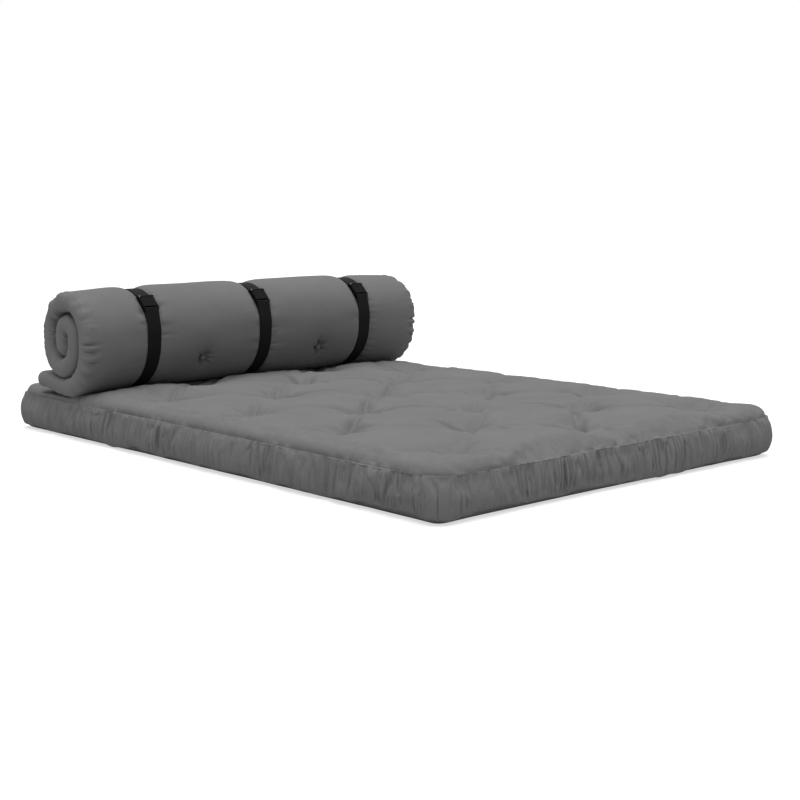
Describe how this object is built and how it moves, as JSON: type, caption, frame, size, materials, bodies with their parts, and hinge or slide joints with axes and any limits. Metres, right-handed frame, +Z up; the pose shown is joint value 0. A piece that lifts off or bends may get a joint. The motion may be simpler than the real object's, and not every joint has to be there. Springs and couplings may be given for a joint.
{
  "type": "futon mattress",
  "caption": "Low tufted futon mattress in mid grey twill with a thin futon topper rolled up on its head end and held by black cam buckle straps.",
  "frame": {"origin": "Centre of the mattress underside, on the floor.", "axes": "+X runs along the rolled topper, which is the width of the bed. +Y points to the head end where the roll lies. +Z is up."},
  "size_m": [1.4, 2, 0.4665],
  "materials": {
    "grey_twill": "mid grey cotton twill",
    "cotton_filling": "raw cotton batting",
    "foam": "open cell foam",
    "tuft_cord": "waxed tufting cord",
    "felt_washer": "wool felt",
    "grey_button": "button covered in the same twill",
    "black_webbing": "black woven webbing",
    "black_metal": "matt black coated metal",
    "steel_pin": "black rivet",
    "spring_steel": "spring wire"
  },
  "bodies": {
    "mattress": {"mattress_top_panel": "grey_twill", "mattress_bottom_panel": "grey_twill", "mattress_border_front": "grey_twill", "mattress_border_back": "grey_twill", "mattress_border_left": "grey_twill", "mattress_border_right": "grey_twill", "mattress_upper_batting": "cotton_filling", "mattress_foam_core": "foam", "mattress_lower_batting": "cotton_filling", "mattress_tuft_cords": "tuft_cord", "mattress_top_buttons": "grey_button", "mattress_bottom_buttons": "felt_washer"},
    "topper": {"topper_outer_panel": "grey_twill", "topper_inner_panel": "grey_twill", "topper_filling": "cotton_filling", "topper_outer_buttons": "grey_button", "topper_inner_buttons": "grey_button", "topper_tuft_cords": "tuft_cord", "strap_1": "black_webbing", "buckle_frame_1": "black_metal", "buckle_pin_1": "steel_pin", "buckle_spring_1": "spring_steel", "strap_2": "black_webbing", "buckle_frame_2": "black_metal", "buckle_pin_2": "steel_pin", "buckle_spring_2": "spring_steel", "strap_3": "black_webbing", "buckle_frame_3": "black_metal", "buckle_pin_3": "steel_pin", "buckle_spring_3": "spring_steel"},
    "lever_1": {"buckle_lever_1": "black_metal"},
    "lever_2": {"buckle_lever_2": "black_metal"},
    "lever_3": {"buckle_lever_3": "black_metal"}
  },
  "joints": [
    {"name": "topper_lift", "type": "slide", "parent": "mattress", "child": "topper", "axis": [0, 0, 1], "range_m": [0, 0.15]},
    {"name": "lever_hinge_1", "type": "hinge", "parent": "topper", "child": "lever_1", "pos_m": [-0.445, 0.60785, 0.44194], "axis": [-1, 0, 0], "range_deg": [0, 70], "stiffness_Nm_per_rad": 0.05, "springref_deg": -20.05, "deforming": ["buckle_spring_1"]},
    {"name": "lever_hinge_2", "type": "hinge", "parent": "topper", "child": "lever_2", "pos_m": [0, 0.60785, 0.44194], "axis": [-1, 0, 0], "range_deg": [0, 70], "stiffness_Nm_per_rad": 0.05, "springref_deg": -20.05, "deforming": ["buckle_spring_2"]},
    {"name": "lever_hinge_3", "type": "hinge", "parent": "topper", "child": "lever_3", "pos_m": [0.445, 0.60785, 0.44194], "axis": [-1, 0, 0], "range_deg": [0, 70], "stiffness_Nm_per_rad": 0.05, "springref_deg": -20.05, "deforming": ["buckle_spring_3"]}
  ]
}
